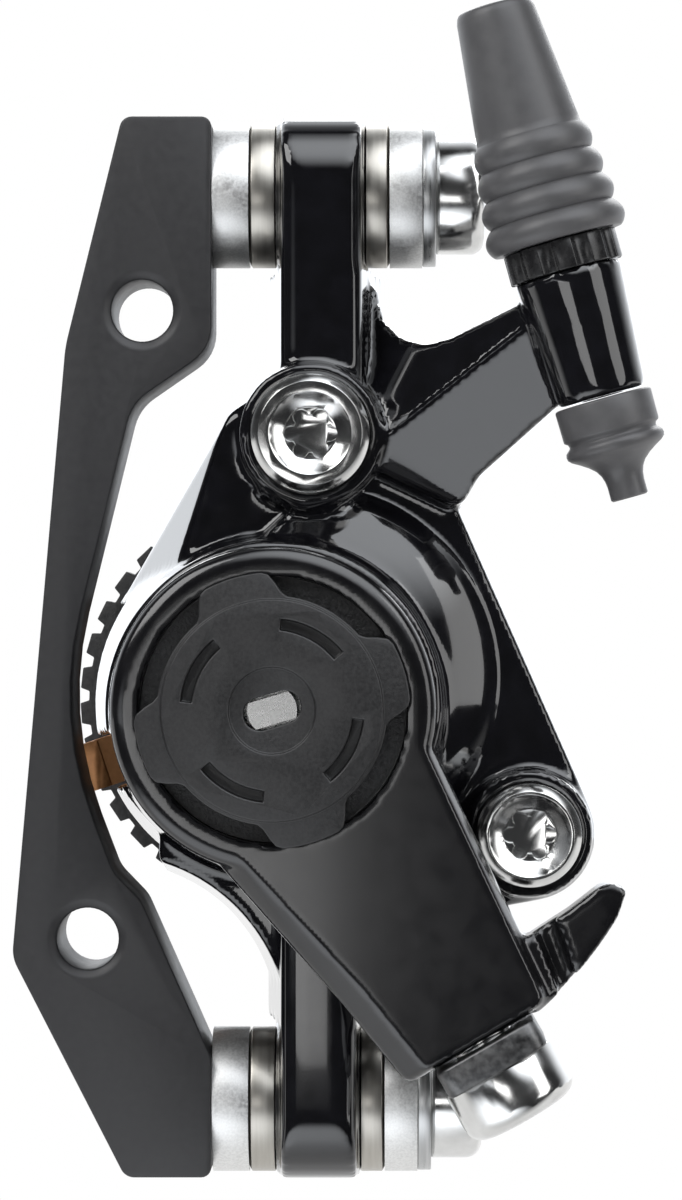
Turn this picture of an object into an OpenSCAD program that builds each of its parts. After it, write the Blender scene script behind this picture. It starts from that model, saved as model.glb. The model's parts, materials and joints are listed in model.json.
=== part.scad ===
// Mechanical disc brake caliper on its mounting bracket, all lengths in millimetres.
// +Z is up, +X points away from the bracket and +Y points towards the wheel.
// The origin lies midway between the two frame holes, on the bracket's outer face.

/* [Bracket] */
// Distance between the two frame holes
frame_hole_pitch = 51; // [50.5:0.1:51.5]
// Lean of the line through the frame holes, in degrees
frame_hole_lean = 4.95; // [4:0.25:6]
// Radius of the tapped frame holes
frame_hole_r = 2.5; // [2.2:0.1:2.9]
// Widest radius of the lead-in chamfer of a frame hole
frame_chamfer_r = 3.2; // [3.0:0.1:3.6]
// Thickness of the bracket plate
bracket_t = 12; // [11.5:0.1:12.2]
// Distance of the machined post faces from the origin
post_face_x = 7.8; // [7.5:0.1:8.1]

/* [Mount bolts] */
// Distance between the two mount bolts
post_pitch = 74; // [73.5:0.1:74.5]
// Height of the upper mount bolt above the origin
post_top_z = 35.11; // [34.8:0.1:35.4]
// Distance of the mount bolts behind the bracket's outer face
post_y = 6; // [5.8:0.1:6.2]
// Radius of a mount bolt's shank
post_shank_r = 2.95; // [2.8:0.05:3]
// Radius of a mount bolt's head
post_head_r = 4.8; // [4.5:0.1:5.2]
// Height of a mount bolt's head
post_head_h = 4.1; // [3.6:0.1:4.5]
// Outer radius of the alignment washers
washer_r = 5.9; // [5.5:0.1:6]
// Bore radius of the alignment washers
washer_bore_r = 3.3; // [3.2:0.05:3.5]
// Radius of the ball faces of the alignment washers
ball_face_r = 12; // [11:0.5:14]
// Rim thickness of the thick socket washers
socket_t = 3; // [2.8:0.1:3.1]
// Rim thickness of the ball washers
ball_t = 1.9; // [1.7:0.05:2]
// Gap between a ball washer and its socket washer at the rim
ball_gap = 0.2; // [0.1:0.05:0.3]
// Thickness of the retaining washers
retainer_t = 1.1; // [0.9:0.1:1.3]

/* [Caliper body] */
// Distance of the brake's axis from the origin, away from the bracket
axis_x = 13.07; // [12.9:0.1:13.3]
// Height of the brake's axis above the origin
axis_z = -6.65; // [-6.9:0.1:-6.4]
// Rotor plane, measured from the bracket's outer face
rotor_y = 17.6; // [17.4:0.1:17.9]
// Width of the slot that the rotor runs in
slot_w = 2.6; // [2.4:0.1:2.8]
// Radius of the largest rotor that fits the slot
rotor_r = 80; // [79:0.5:80.5]
// Distance of the brake's axis from the wheel's axle
rotor_reach = 73; // [72.5:0.25:74]
// Direction from the brake's axis to the axle, below the horizontal in degrees
rotor_angle = 18.5; // [17:0.5:20]
// Radius of the body's round wall at the rotor slot
wall_far_r = 16; // [15.8:0.1:16.1]
// Radius of the body's round wall at its outer end
wall_near_r = 13.2; // [13:0.1:13.5]
// Outer end face of the outboard body
body_front_y = -4; // [-4.2:0.1:-3.8]
// Radius of a body bolt's head
body_head_r = 4.75; // [4.5:0.05:4.9]
// Radius of the second body bolt's head
body_head2_r = 4.15; // [4:0.05:4.3]
// Height of a body bolt's head
body_head_h = 3.2; // [2.8:0.1:3.6]
// Radius of a body bolt's shank
body_shank_r = 2.45; // [2.3:0.05:2.5]

/* [Ball and ramp drive] */
// Radius of the drive spindle's shaft
spindle_r = 5; // [4.8:0.1:5.2]
// Running clearance of the turning pieces, on the radius
run_gap = 0.05; // [0.03:0.01:0.08]
// Radius of the ramp balls
ball_r = 2; // [1.9:0.05:2.1]
// Radius of the ring on which the ramp balls run
ball_ring_r = 7.6; // [7.5:0.05:7.7]
// Depth of the ball ring behind the bracket's outer face
ball_y = 3; // [2.9:0.05:3.1]
// Swing of the torque arm in degrees
arm_swing = 32; // [20:1:36]
// Travel of the pad over the whole swing
pad_travel = 0.9; // [0.6:0.05:1]

/* [Torque arm] */
// Direction of the torque arm, below the horizontal in degrees
arm_angle = 60; // [56:1:64]
// Outer radius of the arm's hub
hub_r = 12.9; // [12.6:0.1:13.1]
// Radius of the bowl in the arm's hub
hub_bowl_r = 10.5; // [10.3:0.1:10.6]
// Outer face of the arm
arm_front_y = -12; // [-12.4:0.1:-11.8]
// Inner face of the arm
arm_back_y = -5.2; // [-5.4:0.1:-5.1]
// Lever length, from the brake's axis to the cable
cable_r = 31.7; // [31.3:0.1:32.1]
// Distance of the cable in front of the bracket's outer face
cable_y = -7.6; // [-7.9:0.1:-7.3]
// Radius of the cable
cable_rad = 0.8; // [0.7:0.05:0.85]

/* [Adjuster knobs] */
// Radius over the lobes of the outboard knob
knob_lobe_r = 10.8; // [10.6:0.1:11]
// Radius between the lobes of the outboard knob
knob_waist_r = 9; // [8.8:0.1:9.2]
// Turn of the knob's lobes in degrees
knob_turn = 16.8; // [0:0.5:89]
// Radius over the castellations of the inboard knob
dial_r = 17.6; // [17.2:0.1:18]
// Number of castellations of the inboard knob
dial_teeth = 36; // [24:2:40]

/* [Brake pads] */
// Thickness of a pad's backing plate
plate_t = 1.6; // [1.5:0.05:1.7]
// Thickness of a pad's lining
lining_t = 1.9; // [1.6:0.1:2]
// Thickness of the rotor disc
rotor_t = 1.8; // [1.6:0.1:1.9]
// Gap between each lining and the rotor
pad_gap = 0.3; // [0.2:0.05:0.4]
// Width of a pad's pull tab
tab_w = 4; // [3.6:0.1:4.2]

/* [Cable stop] */
// Foot of the cable line, where the lower boot ends, from the origin
stop_tip_x = 41.3; // [41.2:0.1:41.6]
// Height of the lower boot's end
stop_tip_z = 10.1; // [9.8:0.1:10.4]
// Lean of the cable line from the vertical, in degrees
stop_lean = 15.55; // [15:0.25:16]
// Radius of the lower end of the stop barrel
barrel_r = 3.6; // [3.4:0.1:3.8]
// Radius of the cable housing
housing_r = 2.5; // [2.4:0.05:2.6]

/* [Hidden] */

// Smooth, medium and coarse rounds
fine = 96;
medium = 48;
coarse = 32;
// A cut runs past the face that it opens
past = 0.5;

// Rotor slot faces and pad planes
slot_out_y = rotor_y - slot_w / 2;
slot_in_y = rotor_y + slot_w / 2;
pad_face_y = rotor_t / 2 + pad_gap;
out_lining_y = rotor_y - pad_face_y;
out_plate_y = out_lining_y - lining_t - plate_t;
in_lining_y = rotor_y + pad_face_y;
in_plate_y = in_lining_y + lining_t;

// Plan positions, each [x, z]
brake_axis = [axis_x, axis_z];
axle = brake_axis - rotor_reach * [cos(rotor_angle), sin(rotor_angle)];
body_bolt1 = brake_axis + [2.83, 21.95];
body_bolt2 = brake_axis + [20.43, -10.25];
post_low_z = post_top_z - post_pitch;
// Head seats of the body bolts, and where their tips end
bolt1_seat_y = -3;
bolt2_seat_y = -0.9;
bolt1_tip_y = 25;
bolt2_tip_y = 24.5;

// Unit vector from b to a, and the arc that rounds corner b of a, b, c
function unit(v) = v / norm(v);
function turn(d) = d > 180 ? d - 360 : d < -180 ? d + 360 : d;
function corner(a, b, c, r, n) =
    let (u = unit(a - b), v = unit(c - b), half = acos(u * v) / 2,
         o = b + unit(u + v) * r / sin(half),
         s = b + u * r / tan(half) - o, e = b + v * r / tan(half) - o,
         first = atan2(s[1], s[0]), sweep = turn(atan2(e[1], e[0]) - first))
    [for (i = [0:n]) o + r * [cos(first + sweep * i / n), sin(first + sweep * i / n)]];
// Outline through corners [x, z, radius], with n steps round each corner
function rounded(p, n) =
    let (m = len(p))
    [for (i = [0:m - 1])
        let (a = p[(i + m - 1) % m], b = p[i], c = p[(i + 1) % m])
        each corner([a[0], a[1]], [b[0], b[1]], [c[0], c[1]], b[2], n)];
// The same for the inner corners of an open run
function rounded_run(p, n) =
    [for (i = [1:len(p) - 2])
        let (a = p[i - 1], b = p[i], c = p[i + 1])
        each corner([a[0], a[1]], [b[0], b[1]], [c[0], c[1]], b[2], n)];
// Corner point of an arc of radius r about o, between the normals at angles a and b
function arc_corner(o, r, a, b) =
    let (mid = (a + b) / 2, reach = r / cos((b - a) / 2))
    [o[0] + reach * cos(mid), o[1] + reach * sin(mid), r];

// Prism over an [x, z] outline from depth y0 to depth y1
module slab(y0, y1) {
    translate([0, y1, 0]) rotate([90, 0, 0]) linear_extrude(y1 - y0) children();
}
// Round bar along Y at plan position p
module bar(p, r, y0, y1, n = fine) {
    translate([p[0], y1, p[1]]) rotate([90, 0, 0]) cylinder(r = r, h = y1 - y0, $fn = n);
}
// Cone along Y, radius r0 at y0 and r1 at y1
module cone(p, r0, r1, y0, y1, n = fine) {
    translate([p[0], y1, p[1]]) rotate([90, 0, 0]) cylinder(r1 = r1, r2 = r0, h = y1 - y0, $fn = n);
}
// Revolve an outline [radius, y] round the line along Y at p
module lathe(p, pts, n = fine) {
    translate([p[0], 0, p[1]]) rotate([-90, 0, 0]) rotate_extrude($fn = n) polygon(pts);
}
// Round bar along X at height z on the mount bolt line
module xbar(z, r, x0, x1, n = fine) {
    translate([x0, post_y, z]) rotate([0, 90, 0]) cylinder(r = r, h = x1 - x0, $fn = n);
}
// Solid between two rings of equal length, the near one in front of the far one
module skin(near, far) {
    m = len(near);
    polyhedron(
        points = concat(near, far),
        faces = concat([[for (i = [m - 1:-1:0]) i], [for (i = [0:m - 1]) i + m]],
                       [for (i = [0:m - 1]) let (j = (i + 1) % m) [i, j, j + m, i + m]]),
        convexity = 6);
}
// The same between outlines [x, z] at the depths y0 and y1
module loft(near, far, y0, y1) {
    skin([for (p = near) [p[0], y0, p[1]]], [for (p = far) [p[0], y1, p[1]]]);
}
// Place along the cable line: s up from the lower boot's end
module on_cable_line(s) {
    translate([stop_tip_x, cable_y, stop_tip_z]) rotate([0, -stop_lean, 0]) translate([0, 0, s])
        children();
}

/* Bracket */
bracket_outline = [
    [0.6, 41.1, 1], [post_face_x, 41.1, 0.8], [post_face_x, 22.3, 3.5], [1.4, 17.87, 4],
    [-4.85, -7.49, 28], [-0.1, -20, 3], [2.2, -22.4, 3], [post_face_x, -35, 1.5],
    [post_face_x, -44.7, 0.8], [0.85, -44.7, 1.2], [-8.3, -26.9, 3], [-4, 22.5, 12]];
post_tap_r = 2.5;
module bracket() {
    hole = frame_hole_pitch / 2 * [sin(frame_hole_lean), cos(frame_hole_lean)];
    countersink = (frame_chamfer_r - frame_hole_r) * tan(30);
    color([0.29, 0.29, 0.3]) difference() {
        slab(0, bracket_t) polygon(rounded(bracket_outline, 6));
        for (side = [-1, 1]) {
            bar(side * hole, frame_hole_r, -past, bracket_t + past);
            cone(side * hole, frame_chamfer_r, frame_hole_r, -0.01, countersink);
        }
        xbar(post_top_z, post_tap_r, -past - 5, post_face_x + past);
        xbar(post_low_z, post_tap_r, -past - 9, post_face_x + past);
    }
}

/* Mount bolts and alignment washers */
// Ear faces seen from the bracket: [left, right] for the upper and the lower ear
ear_seat = post_face_x + socket_t + ball_gap + ball_t;
ear_top = [ear_seat, ear_seat + 7.4];
ear_low = [ear_seat, ear_seat + 7];
outer_socket_t = 2.7;
outer_ball_t = 1.7;
// Disc along X from x0, thickness t, at height z
module washer(z, x0, t, r = washer_r, bore = washer_bore_r) {
    difference() {
        xbar(z, r, x0, x0 + t);
        xbar(z, bore, x0 - past, x0 + t + past);
    }
}
// Depth of the ball face over the washer's radius
ball_sag = ball_face_r - sqrt(ball_face_r * ball_face_r - washer_r * washer_r);
// Socket washer with its flat face at x0; side is +1 when the hollow looks along +X
module socket_washer(z, x0, t, side) {
    centre = x0 + side * (t - ball_sag + ball_face_r);
    difference() {
        washer(z, min(x0, x0 + side * t), t);
        translate([centre, post_y, z]) sphere(ball_face_r, $fn = fine);
    }
}
// Ball washer with its flat face at x0; side is +1 when the ball face looks along +X
module ball_washer(z, x0, t, side) {
    high = t + ball_sag;
    centre = x0 + side * (high - ball_face_r);
    intersection() {
        washer(z, min(x0, x0 + side * high), high);
        translate([centre, post_y, z]) sphere(ball_face_r, $fn = fine);
    }
}
// Outer end of a washer stack, where the retaining washer starts
function stack_end(ear) = ear[1] + outer_ball_t + ball_gap + outer_socket_t;
post_socket_r = 2.9;
post_socket_depth = 2.6;
module mount_bolt(z, ear, tip_x) {
    seat = stack_end(ear) + retainer_t;
    crown = 1.3;
    color([0.78, 0.78, 0.78]) difference() {
        union() {
            xbar(z, post_shank_r, post_face_x, seat);
            xbar(z, post_tap_r - run_gap, tip_x, post_face_x);
            translate([seat, post_y, z]) rotate([0, 90, 0]) rotate_extrude($fn = fine)
                polygon([[0, 0], [post_head_r, 0],
                         for (a = [0:9:90]) [post_head_r - crown + crown * cos(a),
                                             post_head_h - crown + crown * sin(a)],
                         [0, post_head_h]]);
        }
        xbar(z, post_socket_r, seat + post_head_h - post_socket_depth, seat + post_head_h + past, 6);
    }
}
alloy = [0.8, 0.8, 0.79];
steel = [0.6, 0.59, 0.57];
module retaining_washer(z, ear) {
    color([0.55, 0.56, 0.56]) washer(z, stack_end(ear), retainer_t, washer_r - 0.1, post_shank_r + 0.1);
}

/* Outboard body */
flank = [13.3, 16];
body_near_y = 0.8;
mount_end_r = 6.2;
ear_y = [-2, 14];
// Left edge of the body, then its foot, the second bolt and the top edge
body_far = [
    [12.2, 21.6, 1], [9.3, 18.7, 2.5],
    arc_corner(brake_axis, wall_far_r, 150.5, 248),
    [10.4, -24.4, 1.5], [20.6, -25.3, 2], arc_corner(body_bolt2, 6.1, -80, 23.5),
    [28.3, 10.4, 1.5], [21.6, 20.8, 1.5]];
body_near = [
    [13.9, 20.3, 0.8], [9, 16.9, 2.2],
    arc_corner(brake_axis, 10.6, 160, 235),
    [12.8, -21.6, 1.5], [19.8, -25, 2], arc_corner(body_bolt2, 5.4, -80, 23.5),
    [27.4, 10.1, 1.5], [20.4, 19.6, 1.5]];
// Drafted column below an ear, between heights z0 and z1
column_lean = 1.8;
module column(faces, z0, z1) {
    x0 = faces[0] + 0.9;
    x1 = faces[1] - 0.4;
    loft([[x0, z0], [x1, z0], [x1, z1], [x0, z1]],
         [[x0 - column_lean, z0], [x1 + column_lean, z0], [x1 + column_lean, z1], [x0 - column_lean, z1]],
         ear_y[0] + 0.4, ear_y[1]);
}
// Ear with its slot for the mount bolt: seat faces, end height and root height
module ear(faces, z, end_z, root_z) {
    side = sign(end_z - z);
    seat_r = 6;
    face_inset = 0.5;
    x0 = faces[0] + face_inset;
    x1 = faces[1] - 0.3;
    intersection() {
        translate([x0, 0, 0]) rotate([90, 0, 90]) linear_extrude(x1 - x0)
            polygon(rounded([[ear_y[0], root_z, 0.1], [ear_y[0], end_z, 5.4],
                             [ear_y[1], end_z, 5.4], [ear_y[1], root_z, 0.1]], 8));
        translate([0, 0, min(root_z, end_z)]) linear_extrude(abs(end_z - root_z))
            polygon(rounded([[x0, ear_y[0], 1.4], [x1, ear_y[0], 1.4],
                             [x1, ear_y[1], 1.4], [x0, ear_y[1], 1.4]], 6));
    }
    xbar(z, seat_r, faces[0], faces[1]);
}
module ear_slot(faces, z) {
    slot_half = 2.2;
    slot_r = post_shank_r + 0.2;
    for (dy = [-slot_half, slot_half])
        translate([0, dy, 0]) xbar(z, slot_r, faces[0] - past, faces[1] + past);
    translate([faces[0] - past, post_y - slot_half, z - slot_r])
        cube([faces[1] - faces[0] + 2 * past, 2 * slot_half, 2 * slot_r]);
}
// Arm of the body that carries the stop barrel: a ridge with a face on either side
barrel_low = 8.3;
barrel_high = 18.6;
ridge_from = [21.7, 15.07];
ridge_to = [35.67, 25.74];
ridge_dir = unit(ridge_to - ridge_from);
// Outlines from the ridge's foot round the right side to its tip, and back round the left
arm_right = [[19.4, 13.31], [27.9, 9.3, 1], [29.4, 11.9, 0.8], [36.6, 18.3, 1], [38.4, 20.8, 1],
             [36.4, 26.3]];
arm_left = [[36.4, 26.3], [35.5, 26.9, 0.3], [21.3, 20.3, 4], [21.3, 27.5, 0.3],
            [19.4, 27.5, 0.3], [19.4, 13.31]];
// Depth of a face at p: root and end along the ridge, and its fall across the ridge
function slope_y(p, y, fall) =
    let (q = p - ridge_from)
    y[0] + (y[1] - y[0]) * (q * ridge_dir) / norm(ridge_to - ridge_from)
    + fall * (q * [-ridge_dir[1], ridge_dir[0]]);
module stop_arm() {
    ridge_y = [-2.6, -9.2];
    back_y = [10, cable_y + barrel_r];
    right = concat([arm_right[0]], rounded_run(arm_right, 4), [arm_left[0]]);
    left = rounded_run(arm_left, 4);
    n = len(right);
    all = concat(right, left);
    m = len(all);
    polyhedron(
        points = concat([for (p = right) let (y = slope_y(p, ridge_y, -0.2)) [p[0], y, p[1]]],
                        [for (p = left) let (y = slope_y(p, ridge_y, 0.85)) [p[0], y, p[1]]],
                        [for (p = all) [p[0], slope_y(p, back_y, 0), p[1]]]),
        faces = concat([[for (i = [n - 1:-1:0]) i], concat([0], [for (i = [m - 1:-1:n - 1]) i]),
                        [for (i = [0:m - 1]) i + m]],
                       [for (i = [0:m - 1]) let (j = (i + 1) % m) [i, j, j + m, i + m]]),
        convexity = 6);
    on_cable_line(barrel_low) cylinder(r1 = barrel_r, r2 = barrel_r + 0.7,
                                       h = barrel_high - barrel_low, $fn = fine);
}
// Pocket for a pad between depths y0 and y1, open towards the axle
pad_r = 12.8;
pocket_gap = 0.3;
pad_half_w = 11.6;
module pad_pocket(y0, y1) {
    half = pad_half_w + pocket_gap;
    translate([axis_x, 0, axis_z]) rotate([0, -rotor_angle, 0]) slab(y0, y1) {
        circle(pad_r + pocket_gap, $fn = fine);
        translate([-wall_far_r - 4, -half]) square([wall_far_r + 4, 2 * half]);
    }
}
chamber_r = 10.4;
race_y = ball_y - 2.5;
pocket_depth = 0.9;
spring_r = 11.1;
spring_wire = 0.5;
spring_floor_y = -1.2;
module outboard_body() {
    dome = brake_axis + [0.9, 2.2];
    color([0.05, 0.05, 0.06]) difference() {
        union() {
            loft(rounded(body_near, 10), rounded(body_far, 10), body_near_y, rotor_y);
            cone(brake_axis, wall_near_r, wall_far_r, body_front_y, slot_out_y);
            cone(dome, 12.6, 16.2, body_front_y, body_near_y + 0.4);
            bar(body_bolt1, body_head_r + 1, bolt1_seat_y, slot_out_y);
            bar(body_bolt2, body_head2_r + 1, bolt2_seat_y, slot_out_y);
            ear(ear_top, post_top_z, post_top_z + mount_end_r, 19);
            ear(ear_low, post_low_z, post_low_z - mount_end_r, -22);
            column(ear_top, 17, post_top_z - mount_end_r);
            column(ear_low, post_low_z + mount_end_r, -20);
            stop_arm();
        }
        // Rotor slot and the pocket of the outboard pad
        bar(axle, rotor_r + 1, slot_out_y, rotor_y + past, 360);
        pad_pocket(out_plate_y - pocket_depth, rotor_y + past);
        // Notch that shows the pad's tab
        translate([axis_x, 0, axis_z]) rotate([0, -rotor_angle, 0])
            translate([-wall_far_r - 4, body_front_y - past, -tab_w / 2 - 0.2])
                cube([wall_far_r + 4 - wall_near_r, out_plate_y - body_front_y, tab_w + 0.4]);
        // Chamber of the ball and ramp drive, spindle bore, seal seat and spring groove
        bar(brake_axis, chamber_r, race_y, rotor_y);
        bar(brake_axis, spindle_r + run_gap, body_front_y - past, race_y + past);
        bar(brake_axis, spindle_r + 1.7, body_front_y - past, -2.2);
        lathe(brake_axis, [[spring_r - 0.8, body_front_y - past], [spring_r + 0.8, body_front_y - past],
                           [spring_r + 0.8, spring_floor_y], [spring_r - 0.8, spring_floor_y]]);
        // Body bolt bores with shallow head seats
        for (b = [[body_bolt1, bolt1_seat_y, body_head_r], [body_bolt2, bolt2_seat_y, body_head2_r]]) {
            bar(b[0], body_shank_r + 0.15, b[1] - past, rotor_y + past);
            bar(b[0], b[2] + 0.1, b[1] - past, b[1] + 0.6);
        }
        ear_slot(ear_top, post_top_z);
        ear_slot(ear_low, post_low_z);
        // Cable bore, housing seat and the lightening pocket beside the barrel
        on_cable_line(0) cylinder(r = cable_rad + 0.4, h = 30, $fn = medium);
        on_cable_line(barrel_high - 3) cylinder(r = housing_r + 0.75, h = 6, $fn = medium);
        on_cable_line(barrel_low + 1) translate([-4.6, -4.4, 0]) cylinder(r = 1.5, h = 3.4, $fn = coarse);
    }
}

/* Inboard body */
in_back_y = 27;
thread_in_r = 5;
in_far = [[10.4, 18.5, 4], arc_corner(brake_axis, 15.6, 150, 262),
          arc_corner(body_bolt2, 6, -82, 23.5), [27.5, 11, 3], [20.5, 21.4, 4]];
in_edge = [[11, 17.4, 3.6], arc_corner(brake_axis, 14.8, 150, 262),
           arc_corner(body_bolt2, 5, -82, 23.5), [26.6, 10, 3], [20, 20.3, 3.6]];
module inboard_body() {
    boss_r = 13.6;
    recess = 4.5;
    color([0.06, 0.06, 0.07]) difference() {
        union() {
            loft(rounded(in_far, 10), rounded(in_edge, 10), rotor_y, in_back_y - 3);
            cone(brake_axis, 15.4, boss_r + 0.6, slot_in_y, in_back_y);
            bar(body_bolt1, 5.3, slot_in_y, in_back_y - 0.6);
            bar(body_bolt2, 5.3, slot_in_y, in_back_y - 1.6);
            bar(brake_axis, boss_r - 3.4, in_back_y - 1, in_back_y + 2.4);
        }
        bar(axle, rotor_r + 1, rotor_y - past, slot_in_y, 360);
        pad_pocket(rotor_y - past, in_plate_y + plate_t + pocket_depth);
        translate([axis_x, 0, axis_z]) rotate([0, -rotor_angle, 0])
            translate([-wall_far_r - 4, rotor_y, -tab_w / 2 - 0.2])
                cube([7.6, in_plate_y + plate_t + 1.2 - rotor_y, tab_w + 0.4]);
        bar(brake_axis, thread_in_r + run_gap, rotor_y, in_back_y + 4);
        bar(brake_axis, 8.35, rotor_y, in_plate_y + plate_t + 2.8);
        // Ring groove for the detent spring
        lathe(brake_axis, [[7.4, in_back_y + 1.2], [9, in_back_y + 1.2], [9, in_back_y + 3],
                           [7.4, in_back_y + 3]]);
        for (b = [body_bolt1, body_bolt2])
            bar(b, body_shank_r + run_gap, rotor_y - past, in_back_y + past);
        // Triangular lightening recess between the boss and the second bolt
        slab(in_back_y - 3 - recess, in_back_y)
            polygon(rounded([[29.6, 5.2, 1.2], [34, -7.6, 1.6], [29.9, -8.4, 1.2]], 5));
    }
}

/* Body bolts */
module body_bolt(p, seat_y, head_r, tip_y) {
    lip = 0.6;
    star_r = 2.1;
    color([0.82, 0.82, 0.82]) difference() {
        union() {
            lathe(p, [[0, seat_y - body_head_h], [head_r - lip, seat_y - body_head_h],
                      [head_r, seat_y - body_head_h + lip], [head_r, seat_y + 0.6], [0, seat_y + 0.6]]);
            bar(p, body_shank_r, seat_y, tip_y);
        }
        // Cupped head with a six-lobed star recess
        translate([p[0], seat_y - body_head_h - 3.6, p[1]]) sphere(4.9, $fn = fine);
        for (a = [0:60:300])
            bar(p + 1.55 * [cos(a), sin(a)], 0.62, seat_y - body_head_h - past, seat_y - 0.4, 24);
        bar(p, 1.5, seat_y - body_head_h - past, seat_y - 0.4, medium);
        bar(p, star_r, seat_y - body_head_h - past, seat_y - body_head_h + 1.5, medium);
    }
}

/* Ball and ramp drive */
flange_y = ball_y + 0.5;
flange_t = 2.2;
flange_r = 9.9;
screw_r = 3;
spindle_end_y = -8.8;
module at_balls() {
    for (a = [0:120:240])
        translate([axis_x, ball_y, axis_z]) rotate([0, -a, 0]) translate([ball_ring_r, 0, 0]) children();
}
// Track along the chord of the balls' way leaves more room than a running gap
track_r = ball_r + 0.1;
track_end_r = track_r + 0.06;
track_chord = 2 * ball_ring_r * sin(arm_swing / 4);
module ball_race() {
    color([0.62, 0.62, 0.63]) difference() {
        bar(brake_axis, chamber_r - run_gap, race_y, ball_y - 0.5);
        bar(brake_axis, spindle_r + run_gap, race_y - past, ball_y);
        // Level tracks, as long as the balls roll
        at_balls() rotate([0, -arm_swing / 4, 0]) cylinder(r = track_r, h = track_chord, $fn = medium);
        at_balls() sphere(track_end_r, $fn = medium);
        at_balls_turned(arm_swing / 2) sphere(track_end_r, $fn = medium);
    }
}
// Ball places after the balls have rolled by an angle, raised by h
module at_balls_turned(roll, h = 0) {
    for (a = [0:120:240])
        translate([axis_x, ball_y + h, axis_z]) rotate([0, -a - roll, 0])
            translate([ball_ring_r, 0, 0]) children();
}
module drive_spindle() {
    slope = atan2(pad_travel, track_chord);
    color([0.55, 0.55, 0.56]) difference() {
        union() {
            bar(brake_axis, spindle_r, spindle_end_y, flange_y + 1);
            bar(brake_axis, flange_r, flange_y, flange_y + flange_t);
        }
        bar(brake_axis, screw_r + run_gap, spindle_end_y - past, flange_y + flange_t + past);
        // Ramps that the balls climb while the arm swings
        at_balls() sphere(track_r, $fn = medium);
        at_balls_turned(-arm_swing / 2, -pad_travel) sphere(track_r, $fn = medium);
        at_balls() rotate([0, arm_swing / 4, 0]) rotate([-slope, 0, 0]) rotate([180, 0, 0])
            cylinder(r = track_r, h = norm([track_chord, pad_travel]), $fn = medium);
    }
}
module ramp_balls() {
    color([0.75, 0.75, 0.76]) at_balls() sphere(ball_r, $fn = medium);
}
module ball_cage() {
    cage_t = 0.7;
    color([0.7, 0.55, 0.2]) difference() {
        bar(brake_axis, flange_r, ball_y - cage_t / 2, ball_y + cage_t / 2);
        bar(brake_axis, spindle_r + 0.2, ball_y - 1, ball_y + 1);
        for (a = [0:120:240])
            bar(polar(ball_ring_r, a), ball_r + run_gap, ball_y - 1, ball_y + 1, medium);
    }
}
thrust_t = 0.8;
thrust_y = flange_y + flange_t + run_gap;
module thrust_washer() {
    color([0.5, 0.5, 0.5]) difference() {
        bar(brake_axis, flange_r, thrust_y, thrust_y + thrust_t);
        bar(brake_axis, screw_r + 0.3, thrust_y - past, thrust_y + thrust_t + past);
    }
}
foot_r = 8;
foot_t = 1.8;
flat_l = 3.9;
flat_w = 2.15;
foot_gap = 0.05;
// Round shaft of the foot screw ends in two flats that the knob turns
module outboard_foot_screw() {
    foot_y = out_plate_y - foot_gap - foot_t;
    shoulder_y = -9.4;
    color([0.7, 0.7, 0.7]) {
        bar(brake_axis, screw_r, shoulder_y, foot_y);
        bar(brake_axis, foot_r, foot_y, foot_y + foot_t);
        intersection() {
            bar(brake_axis, flat_l / 2, knob_front_y + 0.7, shoulder_y);
            at_knob() translate([-flat_l, knob_front_y, -flat_w / 2])
                cube([2 * flat_l, shoulder_y - knob_front_y, flat_w]);
        }
    }
}
module dust_seal() {
    color([0.1, 0.1, 0.1])
        lathe(brake_axis, [[spindle_r + 0.08, -3.9], [spindle_r + 1.6, -3.9], [spindle_r + 1.6, -2.3],
                           [spindle_r + 0.08, -2.3]]);
}
// Coil spring in the groove behind the hub: three turns of round wire
spring_turns = 2.5;
spring_steps = 20;
spring_sides = 8;
function spring_point(i, j) =
    let (a = 360 * i / spring_steps, b = 360 * j / spring_sides,
         r = spring_r + spring_wire * cos(b),
         y = spring_floor_y - spring_wire - 0.05 - 1.05 * i / spring_steps + spring_wire * sin(b))
    [axis_x + r * cos(a), y, axis_z + r * sin(a)];
module arm_return_spring() {
    rings = spring_turns * spring_steps;
    s = spring_sides;
    color([0.6, 0.6, 0.62]) polyhedron(
        points = [for (i = [0:rings]) for (j = [0:s - 1]) spring_point(i, j)],
        faces = concat(
            [[for (j = [s - 1:-1:0]) j], [for (j = [0:s - 1]) rings * s + j]],
            [for (i = [0:rings - 1]) for (j = [0:s - 1])
                let (k = (j + 1) % s) [i * s + j, i * s + k, (i + 1) * s + k, (i + 1) * s + j]]),
        convexity = 8);
}

/* Torque arm */
// Plan point of the arm: u along it from the brake's axis, v across it
along = [cos(arm_angle), -sin(arm_angle)];
across = [sin(arm_angle), cos(arm_angle)];
function on_arm(u, v) = brake_axis + u * along + v * across;
function arm_corner(u, v, r) = [on_arm(u, v)[0], on_arm(u, v)[1], r];
arm_end_u = 30.9;
arm_side = [arm_corner(0, -10.4, 1), arm_corner(6, -10.3, 6), arm_corner(22.8, -6.9, 4),
            arm_corner(arm_end_u, -5.6, 0.8), arm_corner(arm_end_u, 7.6, 0.8),
            arm_corner(6, 9.7, 6), arm_corner(0, 9.8, 1)];
arm_face = [arm_corner(0, -9, 1), arm_corner(6, -8.7, 6), arm_corner(22.8, -4.9, 4),
            arm_corner(arm_end_u - 0.3, -3.7, 0.6), arm_corner(arm_end_u - 0.4, 7, 0.8),
            arm_corner(6, 9.1, 6), arm_corner(0, 9.2, 1)];
horn_tip = -27.7;
horn_root = -49;
function polar(r, a) = brake_axis + r * [cos(a), sin(a)];
bevel_y = 1.6;
clamp_bolt_r = 2.5;
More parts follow.
